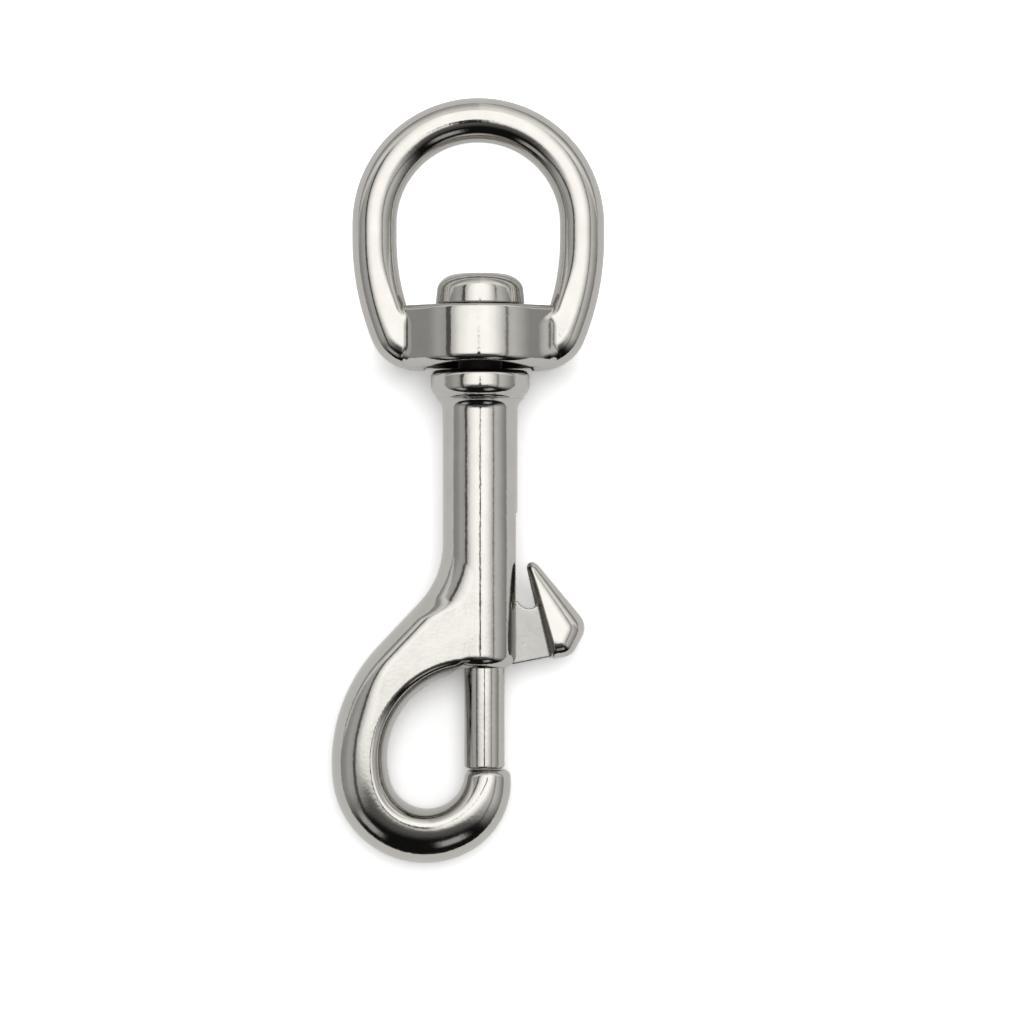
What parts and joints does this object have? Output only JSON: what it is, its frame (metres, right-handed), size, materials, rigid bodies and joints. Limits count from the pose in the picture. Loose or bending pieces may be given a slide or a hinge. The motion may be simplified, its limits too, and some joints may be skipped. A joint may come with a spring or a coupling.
{
  "type": "swivel snap hook",
  "caption": "Polished steel bolt snap hook: hook with a spring-loaded sliding bolt and thumb knob, and a swivelling eye held by a headed rivet.",
  "frame": {"origin": "centre of the eye loop, on the swivel axis", "axes": "+Y along the swivel axis from hook to eye, +X towards the thumb knob, +Z out of the flat side, up as it lies"},
  "size_m": [0.032, 0.0899, 0.0134],
  "materials": {
    "eye_steel": "polished",
    "rivet_steel": "polished",
    "body_steel": "polished",
    "bolt_steel": "polished, web as cast",
    "spring_steel": "bright drawn wire"
  },
  "bodies": {
    "body": {"snap_body": "body_steel", "swivel_rivet": "rivet_steel", "bolt_spring": "spring_steel"},
    "eye": {"swivel_eye": "eye_steel"},
    "bolt": {"thumb_bolt": "bolt_steel"}
  },
  "joints": [
    {"name": "eye_swivel", "type": "hinge", "parent": "body", "child": "eye", "pos_m": [0, -0.013, 0], "axis": [0, 1, 0], "continuous": true},
    {"name": "bolt_slide", "type": "slide", "parent": "body", "child": "bolt", "axis": [0, 1, 0], "range_m": [0, 0.0102], "stiffness_N_per_m": 500, "springref_m": -0.004, "deforming": ["bolt_spring"]}
  ]
}
